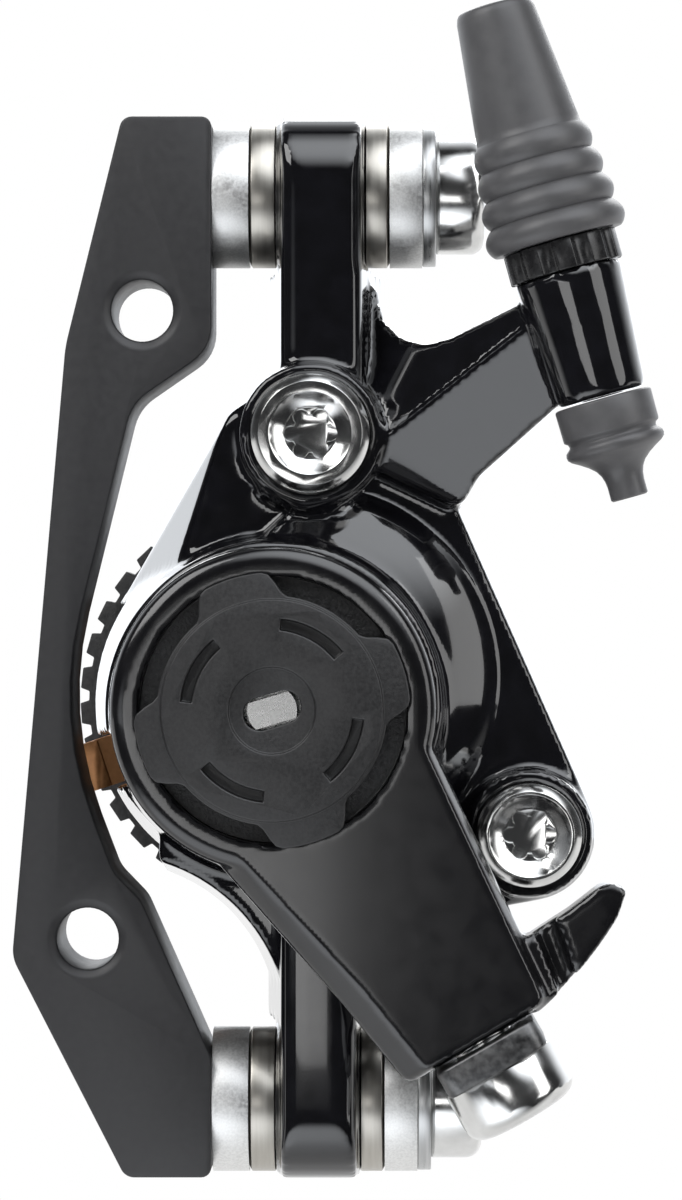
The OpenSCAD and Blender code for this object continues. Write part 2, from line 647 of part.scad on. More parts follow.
module torque_arm() {
    floor_y = -8.6;
    lip = 1.2;
    horn_y = [cable_y - 3.1, cable_y + 2.1];
    color([0.07, 0.07, 0.08]) difference() {
        union() {
            loft(rounded(arm_face, 5), rounded(arm_side, 5), arm_front_y, arm_front_y + bevel_y);
            slab(arm_front_y + bevel_y, arm_back_y) polygon(rounded(arm_side, 5));
            lathe(brake_axis, [[0, arm_back_y], [0, arm_front_y], [hub_r - lip, arm_front_y],
                               for (a = [10:10:80]) [hub_r - lip + lip * sin(a),
                                                     arm_front_y + lip - lip * cos(a)],
                               [hub_r, arm_front_y + lip], [hub_r, arm_back_y]]);
            // Cable horn: a curved finger with the cable groove along its back
            slab(horn_y[0], horn_y[1])
                polygon(concat([for (a = [horn_root:2:horn_tip - 2]) polar(cable_r, a)],
                               [polar(cable_r - 0.4, horn_tip + 0.6), polar(cable_r - 1.6, horn_tip + 0.8),
                                polar(cable_r - 2.4, horn_tip - 0.6)],
                               [polar(28.2, -34), polar(27, -41), polar(26, horn_root)]));
        }
        // Cable groove round the horn and across the arm's end
        lathe(brake_axis, [[cable_r - 0.9, cable_y - 0.85], [cable_r + 2, cable_y - 0.85],
                           [cable_r + 2, cable_y + 0.85], [cable_r - 0.9, cable_y + 0.85]], 180);
        // Notch that parts the horn from the arm's edge
        slab(arm_front_y - past, cable_y - 1.6)
            polygon([on_arm(22, 9.6), on_arm(31.5, 8.3), on_arm(31.5, 9.9), on_arm(22, 11.6)]);
        // Pocket over the return spring
        lathe(brake_axis, [[spring_r - 0.8, arm_back_y + past], [spring_r + 0.8, arm_back_y + past],
                           [spring_r + 0.8, arm_back_y - 0.9], [spring_r - 0.8, arm_back_y - 0.9]]);
        // Bowl of the hub with the spindle bore in its floor
        bar(brake_axis, hub_bowl_r, arm_front_y - past, floor_y);
        bar(brake_axis, spindle_r + 0.02, arm_front_y - past, arm_back_y + past);
        // Tapped hole of the clamp bolt
        on_clamp(16) cylinder(r = clamp_bolt_r + run_gap, h = 18, $fn = medium);
    }
}
// Place on the clamp bolt's line, w along the arm from the brake's axis
clamp_v = 1.2;
module on_clamp(w) {
    p = on_arm(w, clamp_v);
    translate([p[0], cable_y, p[1]]) rotate([0, 90 + arm_angle, 0]) children();
}
clamp_washer_t = 2.3;
clamp_gap = 0.25;
module cable_clamp_washer() {
    reach = 5.35;
    deep = 4.4;
    color([0.2, 0.2, 0.21]) on_clamp(arm_end_u + clamp_gap) difference() {
        linear_extrude(clamp_washer_t)
            polygon(rounded([[-deep, -reach, 1.2], [deep, -reach, 1.2], [deep, reach, 1.2],
                             [-deep, reach, 1.2]], 4));
        translate([0, 0, -past]) cylinder(r = clamp_bolt_r + 0.1, h = clamp_washer_t + 2 * past,
                                          $fn = medium);
    }
}
module cable_clamp_bolt() {
    head_r = 4.8;
    head_h = 4.5;
    crown = 1.4;
    shank = 12;
    color([0.82, 0.82, 0.8]) on_clamp(arm_end_u + clamp_gap + clamp_washer_t) difference() {
        union() {
            translate([0, 0, -shank]) cylinder(r = clamp_bolt_r, h = shank, $fn = medium);
            rotate_extrude($fn = fine)
                polygon([[0, 0], [head_r, 0], for (a = [0:9:90]) [head_r - crown + crown * cos(a),
                                                                 head_h - crown + crown * sin(a)],
                         [0, head_h]]);
        }
        translate([0, 0, head_h - 2.6]) cylinder(r = 2.9, h = 3, $fn = 6);
    }
}
ring_y = -10.5;
module arm_retaining_ring() {
    color([0.35, 0.35, 0.36]) difference() {
        bar(brake_axis, spindle_r + 2.2, spindle_end_y - 1.1, spindle_end_y - 0.1);
        bar(brake_axis, screw_r + 0.4, ring_y - 2, -8);
    }
}
module detent_ring() {
    inner = 8.6;
    teeth = 48;
    step = 360 / teeth;
    color([0.22, 0.22, 0.23]) difference() {
        bar(brake_axis, hub_bowl_r - 0.05, ring_y, -8.65);
        slab(ring_y - past, -8)
            polygon([for (i = [0:teeth - 1]) each [polar(inner, i * step),
                                                   polar(inner + 0.3, (i + 0.5) * step)]]);
    }
}

/* Knobs */
knob_front_y = -14.2;
module at_knob() {
    translate([axis_x, 0, axis_z]) rotate([0, -knob_turn, 0]) children();
}
// Lobed outline: full over each lobe, falling smoothly to the waist
lobe_half = 13;
lobe_flare = 11;
function ease(t) = t <= 0 ? 0 : t >= 1 ? 1 : t * t * (3 - 2 * t);
function lobe(a) =
    let (d = abs(a - 90 * round(a / 90)))
    knob_waist_r + (knob_lobe_r - knob_waist_r) * ease((lobe_half + lobe_flare - d) / lobe_flare);
module outboard_knob() {
    disc_r = 7.2;
    slot_r = [6.3, 7.2];
    slot_sweep = 45;
    skirt_r = 8.4;
    cap_y = -12.35;
    color([0.17, 0.17, 0.18]) difference() {
        union() {
            at_knob() slab(knob_front_y + 0.3, cap_y)
                polygon([for (a = [0:3:357]) lobe(a) * [cos(a), sin(a)]]);
            bar(brake_axis, knob_waist_r - 0.3, knob_front_y, knob_front_y + 1);
            bar(brake_axis, skirt_r, cap_y - 0.5, ring_y + 0.3);
        }
        // Four arc slots, the shallow dish and the hole for the foot screw's flats
        for (i = [0:3])
            translate([axis_x, knob_front_y - past, axis_z]) rotate([-90, 0, 0])
                rotate([0, 0, -62 - slot_sweep / 2 - 90 * i])
                    rotate_extrude(angle = slot_sweep, $fn = fine)
                        translate([slot_r[0], 0]) square([slot_r[1] - slot_r[0], 1.6]);
        bar(brake_axis, 3.4, knob_front_y - past, knob_front_y + 0.35);
        bar(brake_axis, disc_r - 1.4, cap_y + 0.8, -9);
        at_knob() {
            hole_l = flat_l + 0.7;
            hole_w = flat_w + 0.45;
            for (s = [-1, 1])
                bar([s * (hole_l - hole_w) / 2, 0], hole_w / 2, knob_front_y - past, -9, medium);
            translate([-(hole_l - hole_w) / 2, knob_front_y - past, -hole_w / 2])
                cube([hole_l - hole_w, 6, hole_w]);
        }
    }
}
// Thumb dial on the inboard side, castellated round its rim
dial_y = in_back_y + 0.9;
module inboard_knob() {
    tooth = 0.75;
    pitch = 360 / dial_teeth;
    dial_t = 6;
    land = 0.65;
    color([0.13, 0.13, 0.14]) difference() {
        union() {
            slab(dial_y, dial_y + 4.4)
                polygon([for (i = [0:dial_teeth - 1]) each [
                    polar(dial_r - tooth, i * pitch), polar(dial_r, (i + 0.08) * pitch),
                    polar(dial_r, (i + land) * pitch), polar(dial_r - tooth, (i + land + 0.08) * pitch)]]);
            bar(brake_axis, dial_r - tooth - 0.9, dial_y, dial_y + dial_t);
        }
        // Hollow under the rim, which covers the boss of the body
        bar(brake_axis, 14.9, dial_y - past, dial_y + 2.2);
        bar(brake_axis, 10.9, dial_y, dial_y + 3.6);
        bar(brake_axis, 12.4, dial_y + dial_t - 0.9, dial_y + dial_t + past);
        bar(brake_axis, 2.6, dial_y, dial_y + dial_t + past, medium);
        for (a = [30:60:330])
            bar(polar(9.4, a), 1.6, dial_y + dial_t - 1.9, dial_y + dial_t + past, coarse);
    }
}
module inboard_foot_screw() {
    foot_y = in_plate_y + plate_t + foot_gap;
    end_y = dial_y + 3.6;
    color([0.7, 0.7, 0.7]) difference() {
        union() {
            bar(brake_axis, 7.6, foot_y, foot_y + 1.6);
            bar(brake_axis, thread_in_r, foot_y + 1, end_y);
            bar(brake_axis, 2.55, end_y - 1, dial_y + 5.6);
        }
        for (a = [0:60:300])
            bar(brake_axis + 1.3 * [cos(a), sin(a)], 0.5, dial_y + 3.4, dial_y + 6, 24);
        bar(brake_axis, 1.3, dial_y + 3.4, dial_y + 6, medium);
    }
}
module inboard_detent_spring() {
    color([0.7, 0.7, 0.68]) difference() {
        bar(brake_axis, 8.9, in_back_y + 1.25, in_back_y + 1.85);
        bar(brake_axis, 7.5, in_back_y + 1, in_back_y + 2);
        translate([axis_x - 1, in_back_y, axis_z]) cube([2, 4, 12]);
    }
}

/* Pads */
// Plate outline in the pad's own frame, with +X away from the axle
pad_plate = [[-10.2, -7.4, 3], [-6.2, -pad_half_w, 4], [8, -pad_half_w, 4], [12, -5.4, 4],
             [12, 5.4, 4], [8, pad_half_w, 4], [-6.2, pad_half_w, 4], [-10.2, 7.4, 3]];
tab_reach = 15.4;
tab_fold = 2.4;
module in_pad_frame() {
    translate([axis_x, 0, axis_z]) rotate([0, -rotor_angle, 0]) children();
}
// Backing plate with its pull tab, whose end is folded by fold_side
module pad_backing(y, fold_side) {
    color([0.72, 0.4, 0.2]) in_pad_frame() {
        intersection() {
            slab(y, y + plate_t) polygon(rounded(pad_plate, 4));
            bar([0, 0], pad_r, y - past, y + plate_t + past);
        }
        translate([-tab_reach, y, -tab_w / 2]) cube([tab_reach - 9, plate_t, tab_w]);
        translate([-tab_reach, y + plate_t / 2, 0]) rotate([0, 0, -fold_side * 28])
            translate([-tab_fold, -plate_t / 2, -tab_w / 2]) cube([tab_fold + 0.3, plate_t, tab_w]);
    }
}
// Lining with a dust groove in its wearing face, which looks along side
module pad_lining(y, side) {
    shrink = 0.86;
    groove = 0.7;
    groove_d = 1.3;
    color([0.32, 0.24, 0.18]) in_pad_frame() difference() {
        slab(y, y + lining_t)
            polygon(rounded([for (p = pad_plate) [p[0] * shrink, p[1] * shrink, p[2] * shrink]], 4));
        translate([-14, y + (side > 0 ? lining_t - groove_d : -past), -groove / 2])
            cube([28, groove_d + past, groove]);
    }
}
// Spreader clip between the pads: a bridge outside the linings and two leaves
module pad_spring() {
    sheet = 0.4;
    leaf_x = [10.75, 12.6];
    leaf_y = [slot_out_y - 0.05, slot_in_y - 0.35];
    leaf_z = 3.4;
    color([0.75, 0.75, 0.73]) in_pad_frame() {
        for (y = leaf_y)
            translate([leaf_x[0], y, -leaf_z]) cube([leaf_x[1] - leaf_x[0], sheet, 2 * leaf_z]);
        translate([leaf_x[1] - sheet, leaf_y[0], -leaf_z])
            cube([sheet, leaf_y[1] - leaf_y[0] + sheet, 2 * leaf_z]);
    }
}

/* Cable stop and boots */
boot_foot = barrel_high + 1.3;
module housing_stop() {
    flutes = 10;
    collar_r = 4.6;
    color([0.12, 0.12, 0.13]) on_cable_line(0) difference() {
        union() {
            translate([0, 0, barrel_high]) difference() {
                cylinder(r = collar_r, h = 2.4, $fn = fine);
                for (a = [0:360 / flutes:359])
                    rotate([0, 0, a]) translate([collar_r + 0.5, 0, -past])
                        cylinder(r = 0.9, h = 4, $fn = 24);
            }
            translate([0, 0, barrel_high - 2.9]) cylinder(r = housing_r + 0.7, h = 6, $fn = medium);
        }
        translate([0, 0, barrel_high - past]) cylinder(r = housing_r + 0.05, h = 12, $fn = medium);
        cylinder(r = cable_rad + 0.2, h = 40, $fn = medium);
    }
}
boot_low = barrel_high + 2.5;
boot_len = 19.4;
// Bellows profile: three soft ridges at the foot, then a tapering sleeve
function boot_r(s) =
    let (cone_r = 5.2 - 2.1 * s / boot_len, ridge = s < 6.6 ? 0.55 - 0.55 * cos(360 * s / 2.2) : 0)
    cone_r + ridge * (1 - s / 14);
module housing_boot() {
    hollow = 3.3;
    color([0.33, 0.33, 0.33]) on_cable_line(boot_low) difference() {
        rotate_extrude($fn = medium)
            polygon(concat([[0, 0]], [for (s = [0:0.55:6.6]) [boot_r(s), s]],
                           [[boot_r(8), 8], [boot_r(14), 14], [boot_r(boot_len - 0.6), boot_len - 0.6],
                            [boot_r(boot_len) - 0.5, boot_len], [0, boot_len]]));
        translate([0, 0, -past]) cylinder(r = housing_r, h = boot_len + 2 * past, $fn = medium);
        translate([0, 0, -past]) cylinder(r = hollow, h = 1.2 + past, $fn = medium);
    }
}
module cable_boot() {
    color([0.3, 0.3, 0.3]) on_cable_line(0) difference() {
        rotate_extrude($fn = medium)
            polygon([[0, 0], [1.5, 0], [1.55, 1.6], [2, 2.6], [3.1, 3.5], [4, 4.1], [4, 4.6],
                     [3.55, 5], [3.9, 5.5], [3.93, 8.1], [0, 8.1]]);
        translate([0, 0, -past]) cylinder(r = cable_rad + 0.05, h = 12, $fn = medium);
        translate([0, 0, 5.4]) cylinder(r = 3, h = 4, $fn = medium);
    }
}

bracket();
outboard_body();
inboard_body();
body_bolt(body_bolt1, bolt1_seat_y, body_head_r, bolt1_tip_y);  // body_bolt_upper
body_bolt(body_bolt2, bolt2_seat_y, body_head2_r, bolt2_tip_y);  // body_bolt_lower
mount_bolt(post_top_z, ear_top, 0.5);  // mount_bolt_upper
mount_bolt(post_low_z, ear_low, -1);  // mount_bolt_lower
retaining_washer(post_top_z, ear_top);  // retaining_washer_upper
retaining_washer(post_low_z, ear_low);  // retaining_washer_lower
color(alloy) socket_washer(post_top_z, post_face_x, socket_t, 1);  // socket_washer_upper_inner
color(alloy) socket_washer(post_top_z, stack_end(ear_top), outer_socket_t, -1);  // socket_washer_upper_outer
color(alloy) socket_washer(post_low_z, post_face_x, socket_t, 1);  // socket_washer_lower_inner
color(alloy) socket_washer(post_low_z, stack_end(ear_low), outer_socket_t, -1);  // socket_washer_lower_outer
color(steel) ball_washer(post_top_z, ear_top[0], ball_t, -1);  // ball_washer_upper_inner
color(steel) ball_washer(post_top_z, ear_top[1], outer_ball_t, 1);  // ball_washer_upper_outer
color(steel) ball_washer(post_low_z, ear_low[0], ball_t, -1);  // ball_washer_lower_inner
color(steel) ball_washer(post_low_z, ear_low[1], outer_ball_t, 1);  // ball_washer_lower_outer
torque_arm();
cable_clamp_bolt();
cable_clamp_washer();
arm_retaining_ring();
detent_ring();
arm_return_spring();
dust_seal();
drive_spindle();
ball_race();
ramp_balls();
ball_cage();
thrust_washer();
outboard_foot_screw();
outboard_knob();
pad_backing(out_plate_y, 1);  // outboard_pad_plate
pad_lining(out_plate_y + plate_t, 1);  // outboard_pad_lining
pad_backing(in_plate_y, -1);  // inboard_pad_plate
pad_lining(in_lining_y, -1);  // inboard_pad_lining
pad_spring();
inboard_foot_screw();
inboard_knob();
inboard_detent_spring();
housing_stop();
housing_boot();
cable_boot();
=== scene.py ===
# %% [markdown]
# # A mechanical disc brake caliper, dressed for its portrait
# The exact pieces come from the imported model, which gives the frame: every size and place is already right.
# This lesson turns them into what the eye expects: forged and painted bodies, polished bolts, tumbled
# washers, moulded knobs and rubber boots.

# %% Load the frame
import json
import math
import bpy
from mathutils import Matrix, Vector


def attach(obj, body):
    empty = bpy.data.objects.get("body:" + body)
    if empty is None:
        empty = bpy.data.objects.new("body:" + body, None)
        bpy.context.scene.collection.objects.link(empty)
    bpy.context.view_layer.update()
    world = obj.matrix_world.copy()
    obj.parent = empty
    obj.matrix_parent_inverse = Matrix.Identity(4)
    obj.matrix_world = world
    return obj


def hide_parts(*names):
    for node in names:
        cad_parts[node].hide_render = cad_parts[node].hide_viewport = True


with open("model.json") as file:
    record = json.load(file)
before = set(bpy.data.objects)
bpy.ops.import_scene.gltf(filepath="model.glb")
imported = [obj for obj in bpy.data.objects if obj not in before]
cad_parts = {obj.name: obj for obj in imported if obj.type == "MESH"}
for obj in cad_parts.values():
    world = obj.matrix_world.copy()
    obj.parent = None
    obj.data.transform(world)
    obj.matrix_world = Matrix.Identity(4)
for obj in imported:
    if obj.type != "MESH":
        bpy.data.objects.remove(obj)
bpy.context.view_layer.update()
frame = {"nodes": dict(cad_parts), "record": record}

MM = 0.001
record = frame["record"]
body_of_node = {n: b for b, ns in record["behaviour"]["bodies"].items() for n in ns}
slot_of_node = {row["node"]: row["material_slot"] for row in record["subparts"]}

# %% [markdown]
# ## The camera comes first
# The photograph is taken face on with a long lens, 406 mm from the bracket's outer face. The object is off
# centre in it, and a small shift of the lens does the framing, so that the perspective stays true.

# %% Camera
LENS_DISTANCE = 406
LENS_PLACE = (23.07, 1.75)
SENSOR_WIDTH = 36
FOCAL_LENGTH = 150.7
SHIFT = (-0.0492, 0.0025)
camera_data = bpy.data.cameras.new("portrait_lens")
camera = bpy.data.objects.new("portrait_lens", camera_data)
bpy.context.scene.collection.objects.link(camera)
camera.location = (LENS_PLACE[0] * MM, -LENS_DISTANCE * MM, LENS_PLACE[1] * MM)
camera.rotation_euler = (math.radians(90), 0, 0)
camera_data.sensor_width = SENSOR_WIDTH
camera_data.lens = FOCAL_LENGTH
camera_data.shift_x, camera_data.shift_y = SHIFT
camera_data.clip_start = 0.01
bpy.context.scene.camera = camera

# %% [markdown]
# ## Small tools
# An operator acts on everything that is selected, so each step first leaves one piece selected alone.
# A piece that stands for a CAD node starts as a copy of that node's mesh, with its loose triangles merged.

# %% Tools for pieces
def alone(piece):
    if bpy.context.object and bpy.context.object.mode != "OBJECT":
        bpy.ops.object.mode_set(mode="OBJECT")
    bpy.ops.object.select_all(action="DESELECT")
    piece.select_set(True)
    bpy.context.view_layer.objects.active = piece


def in_edit(piece, *steps):
    alone(piece)
    bpy.ops.object.mode_set(mode="EDIT")
    bpy.ops.mesh.select_all(action="SELECT")
    for step in steps:
        step()
    bpy.ops.object.mode_set(mode="OBJECT")


def copy_of(node, name):
    piece = bpy.data.objects.new(name, frame["nodes"][node].data.copy())
    bpy.context.scene.collection.objects.link(piece)
    in_edit(piece, lambda: bpy.ops.mesh.remove_doubles(threshold=2e-6))
    return piece


def modify(piece, kind, **values):
    alone(piece)
    step = piece.modifiers.new(kind.lower(), kind)
    for key, value in values.items():
        setattr(step, key, value)
    bpy.ops.object.modifier_apply(modifier=step.name)


def smooth(piece, degrees=30):
    alone(piece)
    bpy.ops.object.shade_smooth_by_angle(angle=math.radians(degrees))


def finish(piece, material, *nodes):
    piece.data.materials.clear()
    piece.data.materials.append(material)
    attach(piece, body_of_node[nodes[0]])
    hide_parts(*nodes)
    print(piece.name, "faces", len(piece.data.polygons))


# %% [markdown]
# ## Effects that several finishes share
# Two small node groups put out masks and heights: a mottle that is the same in every direction, and streaks
# that follow one direction. Each material places them with its own scale and feeds them to its own shader.

# %% Shared effects
def new_group(name, inputs):
    group = bpy.data.node_groups.new(name, "ShaderNodeTree")
    for label, kind, value in inputs:
        socket = group.interface.new_socket(name=label, in_out="INPUT", socket_type=kind)
        socket.default_value = value
    for label in ("Mask", "Height"):
        group.interface.new_socket(name=label, in_out="OUTPUT", socket_type="NodeSocketFloat")
    return group, group.nodes.new("NodeGroupInput"), group.nodes.new("NodeGroupOutput")


def add(tree, kind, **values):
    node = tree.nodes.new(kind)
    for key, value in values.items():
        if hasattr(node, key) and key not in node.inputs:
            setattr(node, key, value)
        else:
            node.inputs[key].default_value = value
    return node


def spread_over(ramp, low, high, bottom=0.0, top=1.0):
    """Maps the span from low to high on to bottom to top."""
    for label, value in (("From Min", low), ("From Max", high), ("To Min", bottom), ("To Max", top)):
        ramp.inputs[label].default_value = value


def mottle_group():
    group, start, end = new_group("mottle", [("Scale", "NodeSocketFloat", 1000.0),
                                             ("Fine Scale", "NodeSocketFloat", 6000.0)])
    place = add(group, "ShaderNodeTexCoord")
    wide = add(group, "ShaderNodeTexNoise", Detail=3.0, Roughness=0.55)
    fine = add(group, "ShaderNodeTexNoise", Detail=2.0, Roughness=0.6)
    link = group.links.new
    link(place.outputs["Object"], wide.inputs["Vector"])
    link(place.outputs["Object"], fine.inputs["Vector"])
    link(start.outputs["Scale"], wide.inputs["Scale"])
    link(start.outputs["Fine Scale"], fine.inputs["Scale"])
    ramp = add(group, "ShaderNodeMapRange")
    spread_over(ramp, 0.35, 0.65)
    link(wide.outputs["Fac"], ramp.inputs["Value"])
    link(ramp.outputs["Result"], end.inputs["Mask"])
    link(fine.outputs["Fac"], end.inputs["Height"])
    return group


def streak_group():
    group, start, end = new_group("streaks", [("Stretch", "NodeSocketVector", (6000.0, 150.0, 150.0))])
    place = add(group, "ShaderNodeTexCoord")
    spread = add(group, "ShaderNodeVectorMath", operation="MULTIPLY")
    noise = add(group, "ShaderNodeTexNoise", Scale=1.0, Detail=3.0, Roughness=0.6)
    link = group.links.new
    link(place.outputs["Object"], spread.inputs[0])
    link(start.outputs["Stretch"], spread.inputs[1])
    link(spread.outputs["Vector"], noise.inputs["Vector"])
    ramp = add(group, "ShaderNodeMapRange")
    spread_over(ramp, 0.3, 0.7)
    link(noise.outputs["Fac"], ramp.inputs["Value"])
    link(ramp.outputs["Result"], end.inputs["Mask"])
    link(noise.outputs["Fac"], end.inputs["Height"])
    return group


groups = {"mottle": mottle_group(), "streaks": streak_group()}


# %% [markdown]
# ## One way to build a finish
# Every finish mixes two near colours and two roughnesses by an effect's mask, and bumps by its height.
# Constants, such as metallic and coat, sit on the shader's own sockets.

# %% Finish builder
def finish_of(name, dark, light, rough, effect, settings, bump=0.1, depth=2e-5, **constants):
    material = bpy.data.materials.new(name)
    material.use_nodes = True
    tree = material.node_tree
    shader = tree.nodes["Principled BSDF"]
    link = tree.links.new
    source = tree.nodes.new("ShaderNodeGroup")
    source.node_tree = groups[effect]
    for key, value in settings.items():
        source.inputs[key].default_value = value
    tint = add(tree, "ShaderNodeMix", data_type="RGBA")
    tint.inputs[6].default_value = (*dark, 1)
    tint.inputs[7].default_value = (*light, 1)
    link(source.outputs["Mask"], tint.inputs[0])
    link(tint.outputs[2], shader.inputs["Base Color"])
    gloss = add(tree, "ShaderNodeMapRange")
    spread_over(gloss, 0, 1, *rough)
    link(source.outputs["Mask"], gloss.inputs["Value"])
    link(gloss.outputs["Result"], shader.inputs["Roughness"])
    relief = add(tree, "ShaderNodeBump", Strength=bump, Distance=depth)
    link(source.outputs["Height"], relief.inputs["Height"])
    link(relief.outputs["Normal"], shader.inputs["Normal"])
    for key, value in constants.items():
        shader.inputs[key.replace("_", " ").title().replace("Ior", "IOR")].default_value = value
    return material


fine_grain = {"Scale": 1400.0, "Fine Scale": 9000.0}
soft_grain = {"Scale": 500.0, "Fine Scale": 3500.0}
along_x = {"Stretch": (2600.0, 120.0, 120.0)}
speckle = {"Scale": 5200.0, "Fine Scale": 9000.0}
finishes = {
    "bracket_black": finish_of("satin_black", (0.024, 0.024, 0.026), (0.028, 0.028, 0.03), (0.42, 0.48),
                               "mottle", fine_grain, bump=0.12, depth=1e-5),
    "body_black": finish_of("gloss_black", (0.004, 0.004, 0.005), (0.006, 0.006, 0.008), (0.07, 0.1),
                            "mottle", soft_grain, bump=0.03, depth=2e-5, coat_weight=0.8, coat_roughness=0.03),
    "arm_black": finish_of("arm_black", (0.005, 0.005, 0.006), (0.008, 0.008, 0.009), (0.14, 0.18),
                           "mottle", soft_grain, bump=0.05, depth=2e-5, coat_weight=0.5, coat_roughness=0.08),
    "bolt_steel": finish_of("polished_steel", (0.66, 0.66, 0.65), (0.76, 0.76, 0.75), (0.12, 0.2),
                            "mottle", soft_grain, bump=0.06, depth=1e-5, metallic=1.0),
    "washer_alloy": finish_of("tumbled_alloy", (0.7, 0.7, 0.69), (0.86, 0.86, 0.85), (0.38, 0.52),
                              "mottle", speckle, bump=0.3, depth=2e-5, metallic=1.0),
    "washer_steel": finish_of("turned_steel", (0.42, 0.4, 0.36), (0.5, 0.48, 0.44), (0.3, 0.36),
                              "streaks", along_x, bump=0.05, depth=1e-5, metallic=1.0),
    "retainer_steel": finish_of("stamped_steel", (0.4, 0.41, 0.41), (0.6, 0.6, 0.6), (0.25, 0.4),
                                "streaks", along_x, bump=0.15, depth=2e-5, metallic=1.0),
    "hard_steel": finish_of("ground_steel", (0.45, 0.45, 0.45), (0.7, 0.7, 0.69), (0.2, 0.34),
                            "mottle", fine_grain, bump=0.15, depth=1e-5, metallic=1.0),
    "ball_steel": finish_of("ball_steel", (0.72, 0.72, 0.72), (0.82, 0.82, 0.82), (0.06, 0.12),
                            "mottle", soft_grain, bump=0.02, depth=1e-5, metallic=1.0),
    "cage_brass": finish_of("cage_brass", (0.6, 0.42, 0.16), (0.75, 0.56, 0.25), (0.25, 0.4),
                            "mottle", fine_grain, bump=0.1, depth=1e-5, metallic=1.0),
    "dark_steel": finish_of("black_oxide", (0.09, 0.09, 0.092), (0.17, 0.17, 0.17), (0.3, 0.48),
                            "mottle", fine_grain, bump=0.3, depth=2e-5, metallic=1.0),
    "spring_steel": finish_of("spring_steel", (0.42, 0.42, 0.42), (0.6, 0.6, 0.6), (0.2, 0.35),
                              "mottle", fine_grain, bump=0.1, depth=1e-5, metallic=1.0),
    "ring_plastic": finish_of("ring_plastic", (0.01, 0.01, 0.011), (0.03, 0.03, 0.031), (0.35, 0.55),
                              "mottle", {"Scale": 2200.0, "Fine Scale": 3600.0}, bump=0.8, depth=1.2e-4),
    "knob_plastic": finish_of("knob_plastic", (0.016, 0.016, 0.017), (0.024, 0.024, 0.025), (0.36, 0.44),
                              "mottle", {"Scale": 4200.0, "Fine Scale": 7200.0}, bump=0.35, depth=3e-5),
    "dial_plastic": finish_of("dial_plastic", (0.02, 0.02, 0.021), (0.035, 0.035, 0.036), (0.4, 0.55),
                              "mottle", {"Scale": 2400.0, "Fine Scale": 5200.0}, bump=0.5, depth=5e-5),
    "pad_copper": finish_of("copper_plate", (0.5, 0.22, 0.08), (0.66, 0.32, 0.13), (0.4, 0.5),
                            "mottle", {"Scale": 900.0, "Fine Scale": 6000.0}, bump=0.2, depth=2e-5, metallic=0.5),
    "lining": finish_of("friction_lining", (0.05, 0.038, 0.03), (0.22, 0.17, 0.13), (0.7, 0.9),
                        "mottle", {"Scale": 2600.0, "Fine Scale": 3000.0}, bump=0.9, depth=1.5e-4),
    "boot_rubber": finish_of("boot_rubber", (0.075, 0.075, 0.079), (0.083, 0.083, 0.087), (0.36, 0.42),
                             "mottle", {"Scale": 700.0, "Fine Scale": 6500.0}, bump=0.2, depth=2e-5),
    "rubber_black": finish_of("seal_rubber", (0.015, 0.015, 0.015), (0.025, 0.025, 0.025), (0.5, 0.65),
                              "mottle", fine_grain, bump=0.2, depth=2e-5),
    "stop_black": finish_of("stop_black", (0.012, 0.012, 0.013), (0.02, 0.02, 0.021), (0.2, 0.3),
                            "mottle", fine_grain, bump=0.1, depth=1e-5),
}
for node, cad in frame["nodes"].items():
    cad.data.materials.clear()
    cad.data.materials.append(finishes[slot_of_node[node]])

# %% [markdown]
# ## Forged bodies
# A forging has no sharp edge before it is machined. A voxel remesh turns the CAD copy into an even skin,
# smoothing rounds every edge, and the machined seats and bores are cut afterwards, as in the workshop.

# %% Forge the painted bodies
def cut(piece, cutter, operation="DIFFERENCE"):
    modify(piece, "BOOLEAN", operation=operation, solver="EXACT", object=cutter)
    bpy.data.objects.remove(cutter)


def tapered(place, near_radius, far_radius, near_y, far_y):
    """A cone frustum along Y, the draft of a forging die."""
    bpy.ops.object.select_all(action="DESELECT")
    bpy.ops.mesh.primitive_cone_add(vertices=128, radius1=near_radius * MM, radius2=far_radius * MM,
                                    depth=(far_y - near_y) * MM, rotation=(math.radians(-90), 0, 0),
                                    location=Vector((place[0], (near_y + far_y) / 2, place[2])) * MM)
    return bpy.context.object


def block(low, high, turn=0.0, pivot=(0, 0, 0)):
    """A box between two corners, turned about the Y line through a pivot."""
    bpy.ops.object.select_all(action="DESELECT")
    middle = (Vector(low) + Vector(high)) / 2
    bpy.ops.mesh.primitive_cube_add(size=MM, location=middle * MM)
    piece = bpy.context.object
    in_edit(piece, lambda: bpy.ops.transform.resize(value=Vector(high) - Vector(low)),
            lambda: bpy.ops.transform.rotate(value=math.radians(turn), orient_axis="Y",
                                             center_override=Vector(pivot) * MM))
    return piece


def forged(piece, voxel, rounds):
    modify(piece, "REMESH", mode="VOXEL", voxel_size=voxel * MM, use_smooth_shade=True)
    modify(piece, "SMOOTH", factor=0.5, iterations=rounds)
    return piece


def bored(piece, place, direction, radius, start, end):
    """Cuts a round seat or bore, from start to end millimetres along a direction."""
    axis = Vector(direction).normalized()
    middle = Vector(place) + axis * (start + end) / 2
    bpy.ops.object.select_all(action="DESELECT")
    bpy.ops.mesh.primitive_cylinder_add(vertices=96, radius=radius * MM, depth=(end - start) * MM,
                                        location=middle * MM, rotation=axis.to_track_quat("Z", "Y").to_euler())
    cut(piece, bpy.context.object)


brake_axis = Vector((13.07, 0, -6.65))
upper_bolt = brake_axis + Vector((2.83, 0, 21.95))
lower_bolt = brake_axis + Vector((20.43, 0, -10.25))
INWARD = (0, 1, 0)

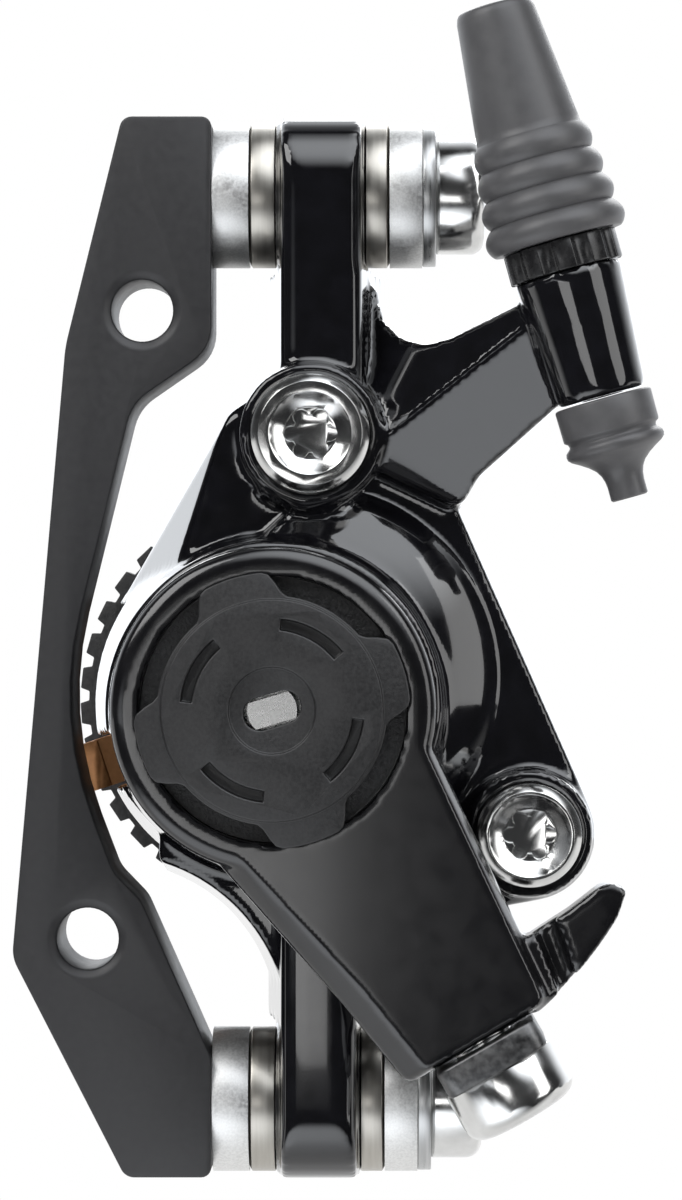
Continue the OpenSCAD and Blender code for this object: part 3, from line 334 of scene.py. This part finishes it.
FRONT = -4.6
LEDGE = 0.7
BOSS = 6.2
WALL = (13.2, 14.05)
HUB = 12.4
EDGE_FOOT = (9.8, 0, 5.2)
EDGE_TURN = 42.7
DOME = (13.97, 0, -4.45)
DOME_REACH = 16.5
body = copy_of("outboard_body", "painted_outboard_body")
# The conical dome of the plain model goes, and so does the ledge that it leaves on the drafted wall
for cutter in (tapered(DOME, DOME_REACH, DOME_REACH, FRONT, LEDGE),
               block((-14, FRONT, -30), (6.05, 1.45, 24), -16.5, (6.05, 0, 6.95))):
    cut(cutter, tapered(brake_axis, *WALL, FRONT - 1, LEDGE + 1))
    cut(cutter, tapered(upper_bolt, BOSS, BOSS, FRONT - 1, LEDGE + 1))
    cut(body, cutter)
# A low dome joins the hub to the web on the right
bpy.ops.object.select_all(action="DESELECT")
bpy.ops.mesh.primitive_uv_sphere_add(segments=128, ring_count=64, radius=MM, location=Vector((15.4, 3.2, -4.2)) * MM)
dome = bpy.context.object
in_edit(dome, lambda: bpy.ops.transform.resize(value=(16.8, 6.9, 16.6)))
cut(dome, block((-12, -6, -24), (9.8, 12, 5.2)))
cut(dome, block((-8, -6, 5.2), (20, 12, 20), EDGE_TURN, EDGE_FOOT))
cut(dome, block((-12, 2.4, -30), (40, 20, 30)))
cut(dome, tapered(brake_axis, HUB, HUB, -8, 8))
cut(body, dome, "UNION")
# The wall sweeps from the hub into the lower ear along a hollow curve
sweep = block((3.5, 1.6, -33), (13.6, 11.6, -17.5))
cut(sweep, tapered((-0.63, 0, -33.3), 14.9, 13.3, 0, 13))
cut(sweep, tapered(brake_axis, 12, 12, 0, 13))
cut(body, sweep, "UNION")
forged(body, 0.34, 6)
bored(body, upper_bolt, INWARD, 4.85, -6, -2.4)
bored(body, lower_bolt, INWARD, 4.25, -6, -0.3)
smooth(body, 40)
finish(body, finishes["body_black"], "outboard_body")

inner = forged(copy_of("inboard_body", "painted_inboard_body"), 0.4, 5)
smooth(inner, 40)
finish(inner, finishes["body_black"], "inboard_body")

arm = forged(copy_of("torque_arm", "painted_torque_arm"), 0.3, 4)
bored(arm, brake_axis, INWARD, 10.52, -13, -8.6)
smooth(arm, 40)
finish(arm, finishes["arm_black"], "torque_arm")

# %% [markdown]
# ## Machined pieces with softened edges
# Turned, milled and moulded pieces keep their crisp shape, with a small round on each edge that catches
# the light. Flat areas are dissolved to single faces first, so that the bevel finds only real edges.

# %% Soften the machined pieces
def softened(node, name, width, segments=2, sharp=25):
    piece = copy_of(node, name)
    in_edit(piece, lambda: bpy.ops.mesh.dissolve_limited(angle_limit=math.radians(1.5)))
    modify(piece, "BEVEL", width=width * MM, segments=segments, limit_method="ANGLE",
           angle_limit=math.radians(sharp), harden_normals=False)
    smooth(piece, 35)
    finish(piece, finishes[slot_of_node[node]], node)


for node, width in [("bracket", 0.35), ("outboard_knob", 0.12), ("inboard_knob", 0.12),
                    ("body_bolt_upper", 0.15), ("body_bolt_lower", 0.15),
                    ("mount_bolt_upper", 0.15), ("mount_bolt_lower", 0.15), ("cable_clamp_bolt", 0.15),
                    ("cable_clamp_washer", 0.2), ("housing_stop", 0.1),
                    ("outboard_pad_plate", 0.12), ("inboard_pad_plate", 0.12),
                    ("socket_washer_upper_inner", 0.2), ("socket_washer_upper_outer", 0.2),
                    ("socket_washer_lower_inner", 0.2), ("socket_washer_lower_outer", 0.2),
                    ("ball_washer_upper_inner", 0.15), ("ball_washer_upper_outer", 0.15),
                    ("ball_washer_lower_inner", 0.15), ("ball_washer_lower_outer", 0.15),
                    ("retaining_washer_upper", 0.12), ("retaining_washer_lower", 0.12)]:
    softened(node, "softened_" + node, width)

# %% [markdown]
# ## Rubber boots
# A moulded boot is a solid of revolution with soft ridges. It grows from one circle: the rim is extruded
# up the cable line and scaled, ring by ring, out along the skin and back down the bore, and the last ring
# is merged with the first, so that the wall is closed.

# %% Boots
STOP_FOOT = Vector((41.3, -7.6, 10.1))
STOP_LEAN = math.radians(15.55)


def grown(name, profile, height):
    """Grows a closed wall of revolution from [radius, height] rings, standing on the cable line."""
    bpy.ops.object.select_all(action="DESELECT")
    radius, level = profile[0]
    bpy.ops.mesh.primitive_circle_add(vertices=96, radius=radius * MM, location=(0, 0, 0))
    piece = bpy.context.object
    piece.name = name
    bpy.ops.object.mode_set(mode="EDIT")
    bpy.ops.mesh.select_all(action="SELECT")
    centre = level
    for wide, high in profile[1:] + profile[:1]:
        bpy.ops.mesh.extrude_edges_move(TRANSFORM_OT_translate={"value": (0, 0, (high - centre) * MM)})
        centre = high
        bpy.ops.transform.resize(value=(wide / radius, wide / radius, 1),
                                 center_override=(0, 0, (centre - level) * MM))
        radius = wide
    bpy.ops.mesh.select_all(action="SELECT")
    bpy.ops.mesh.remove_doubles(threshold=1e-6)
    bpy.ops.mesh.normals_make_consistent(inside=False)
    bpy.ops.object.mode_set(mode="OBJECT")
    piece.data.transform(Matrix.Translation(STOP_FOOT * MM) @ Matrix.Rotation(-STOP_LEAN, 4, "Y")
                         @ Matrix.Translation((0, 0, (height + level) * MM)))
    return piece


BOOT_BASE = 21.1
RIDGES = 4
RIDGE_PITCH = 2.2
RIDGE_HEIGHT = 0.62
RING_STEP = 0.11


def bellows(high):
    """Radius of the boot's skin: a cone with four soft ridges at its foot."""
    cone = 5.2 - 2.1 * high / 19.4
    if high < RIDGES * RIDGE_PITCH:
        cone += RIDGE_HEIGHT * abs(math.sin(math.pi * high / RIDGE_PITCH)) ** 0.8 * (1 - high / 26)
    return cone



sleeve = [(bellows(step * RING_STEP), step * RING_STEP) for step in range(0, 81)]
sleeve += [(bellows(high), high) for high in (9.4, 10.6, 12, 14, 16, 17.6, 18.6)]
sleeve += [(3.07, 19.0), (2.93, 19.25), (2.75, 19.35), (2.55, 19.3), (2.5, 19.1), (2.5, 10.0), (2.5, 1.4),
           (2.7, 1.2), (3.25, 1.15), (3.3, 1.0), (3.3, 0.1), (3.5, 0.0), (4.9, 0.0)]
boot = grown("housing_boot_rubber", sleeve, BOOT_BASE)
smooth(boot, 50)
finish(boot, finishes["boot_rubber"], "housing_boot")

nipple = [(0.85, 0.1), (0.95, 0.0), (1.35, 0.0), (1.5, 0.12), (1.5, 1.2), (1.56, 1.7), (1.72, 2.2), (2.0, 2.65),
          (2.5, 3.1), (3.1, 3.5), (3.7, 3.85), (3.95, 4.1), (4.0, 4.35), (3.95, 4.6), (3.75, 4.8), (3.58, 4.95),
          (3.55, 5.1), (3.62, 5.3), (3.85, 5.45), (3.9, 5.6), (3.93, 7.9), (3.85, 8.05), (3.7, 8.1), (3.15, 8.1),
          (3.0, 8.0), (3.0, 5.5), (2.9, 5.4), (0.95, 5.4), (0.85, 5.3)]
tip = grown("cable_boot_rubber", nipple, 0)
smooth(tip, 50)
finish(tip, finishes["boot_rubber"], "cable_boot")

# %% [markdown]
# ## Studio
# The caliper is held by its mount above a pale floor, before a white background. Mirrored rays meet a
# studio of their own: white behind the object, dark at the sides and towards the camera, with two soft
# glows, and a dark floor in front. So faces towards the lens stay black and the drafted walls turn light.

# %% Floor, world and lamps
bpy.ops.object.select_all(action="DESELECT")
bpy.ops.mesh.primitive_circle_add(vertices=96, radius=1.6, fill_type="NGON", location=(0, 0, -0.13))
floor = bpy.context.object
floor.name = "floor"
paper = bpy.data.materials.new("paper")
paper.use_nodes = True
tree = paper.node_tree
link = tree.links.new
shader = tree.nodes["Principled BSDF"]
shader.inputs["Base Color"].default_value = (0.85, 0.85, 0.85, 1)
shader.inputs["Roughness"].default_value = 0.9
glow = add(tree, "ShaderNodeEmission", Color=(1, 1, 1, 1), Strength=1.0)
place = add(tree, "ShaderNodeTexCoord")
reach = add(tree, "ShaderNodeVectorMath", operation="LENGTH")
fade = add(tree, "ShaderNodeMapRange", interpolation_type="SMOOTHSTEP")
spread_over(fade, 0.12, 0.42)
blend = add(tree, "ShaderNodeMixShader")
link(place.outputs["Object"], reach.inputs[0])
link(reach.outputs["Value"], fade.inputs["Value"])
link(fade.outputs["Result"], blend.inputs[0])
link(shader.outputs[0], blend.inputs[1])
link(glow.outputs[0], blend.inputs[2])
# A glossy ray meets the dark half of the studio in front of the object, with one soft patch at its foot. This is a
# painted reflection: for glossy rays only, the pale floor in front turns dark and glows in that patch, and the glow
# lights no diffuse surface
ray = add(tree, "ShaderNodeLightPath")
parts = add(tree, "ShaderNodeSeparateXYZ")
front = add(tree, "ShaderNodeMapRange", interpolation_type="SMOOTHSTEP")
spread_over(front, 0.02, -0.1)
hidden = add(tree, "ShaderNodeMath", operation="MULTIPLY")
apart = add(tree, "ShaderNodeVectorMath", operation="DISTANCE")
apart.inputs[1].default_value = (-0.05, -0.14, 0)
patch = add(tree, "ShaderNodeMapRange", interpolation_type="SMOOTHSTEP")
spread_over(patch, 0.05, 0.2, 2.0, 0.03)
# Painted reflection: an emission that only glossy rays see, strong in the patch at the foot and near black elsewhere
# in front
reflection_glow = add(tree, "ShaderNodeEmission", Color=(0.93, 0.96, 1, 1))
last = add(tree, "ShaderNodeMixShader")
link(place.outputs["Object"], parts.inputs[0])
link(parts.outputs["Y"], front.inputs["Value"])
link(front.outputs["Result"], hidden.inputs[0])
link(ray.outputs["Is Glossy Ray"], hidden.inputs[1])
link(place.outputs["Object"], apart.inputs[0])
link(apart.outputs["Value"], patch.inputs["Value"])
link(patch.outputs["Result"], reflection_glow.inputs["Strength"])
link(hidden.outputs[0], last.inputs[0])
link(blend.outputs[0], last.inputs[1])
link(reflection_glow.outputs[0], last.inputs[2])
link(last.outputs[0], tree.nodes["Material Output"].inputs["Surface"])
floor.data.materials.append(paper)

world = bpy.data.worlds.new("studio")
bpy.context.scene.world = world
world.use_nodes = True
tree = world.node_tree
tree.nodes.clear()
link = tree.links.new
out = add(tree, "ShaderNodeOutputWorld")
ray = add(tree, "ShaderNodeLightPath")
place = add(tree, "ShaderNodeTexCoord")


def glow_towards(direction, start, full, low, high):
    """Strength low outside and high inside a soft cone round a direction, from the dot products start to full."""
    facing = add(tree, "ShaderNodeVectorMath", operation="DOT_PRODUCT")
    facing.inputs[1].default_value = Vector(direction).normalized()
    link(place.outputs["Generated"], facing.inputs[0])
    ramp = add(tree, "ShaderNodeMapRange", interpolation_type="SMOOTHSTEP")
    spread_over(ramp, start, full, low, high)
    link(facing.outputs["Value"], ramp.inputs["Value"])
    return ramp.outputs["Result"]


def total(first, second):
    plus = add(tree, "ShaderNodeMath", operation="ADD")
    link(first, plus.inputs[0])
    link(second, plus.inputs[1])
    return plus.outputs[0]


around = glow_towards((0, -1, 0), -0.8, -0.1, 1.5, 0.03)
above = glow_towards((0.3, -0.5, 0.8), 0.76, 0.98, 0, 3.2)
below = glow_towards((-0.5, -0.75, -0.4), 0.86, 0.985, 0, 2.4)
mirror = add(tree, "ShaderNodeBackground", Color=(0.93, 0.96, 1, 1))
link(total(total(around, above), below), mirror.inputs["Strength"])
ambient = add(tree, "ShaderNodeBackground", Color=(1, 1, 1, 1), Strength=0.55)
seen = add(tree, "ShaderNodeBackground", Color=(1, 1, 1, 1), Strength=1.0)
first = add(tree, "ShaderNodeMixShader")
link(ray.outputs["Is Glossy Ray"], first.inputs[0])
link(ambient.outputs[0], first.inputs[1])
link(mirror.outputs[0], first.inputs[2])
either = add(tree, "ShaderNodeMath", operation="MAXIMUM")
link(ray.outputs["Is Camera Ray"], either.inputs[0])
link(ray.outputs["Is Transmission Ray"], either.inputs[1])
second = add(tree, "ShaderNodeMixShader")
link(either.outputs[0], second.inputs[0])
link(first.outputs[0], second.inputs[1])
link(seen.outputs[0], second.inputs[2])
link(second.outputs[0], out.inputs["Surface"])


def lamp(name, place, target, size, watts):
    light = bpy.data.lights.new(name, "AREA")
    light.shape = "RECTANGLE"
    light.size, light.size_y = size
    light.energy = watts
    holder = bpy.data.objects.new(name, light)
    bpy.context.scene.collection.objects.link(holder)
    holder.location = place
    holder.rotation_euler = (Vector(place) - Vector(target)).to_track_quat("Z", "Y").to_euler()


centre = (0.02, 0.0, 0.0)
lamp("key", (-0.45, -0.4, 0.5), centre, (0.5, 0.5), 3.2)
lamp("fill", (0.6, -0.35, 0.15), centre, (0.3, 0.7), 1.4)
lamp("back", (0.1, 0.6, 0.4), centre, (0.6, 0.4), 2.0)
# A card beside the lens: the flat faces mirror its edge as a slow gradient from the upper left
lamp("card", (-0.069, -0.43, -0.04), (-0.069, 0, -0.04), (0.162, 0.07), 0.085)

bpy.context.scene.view_settings.view_transform = "Standard"
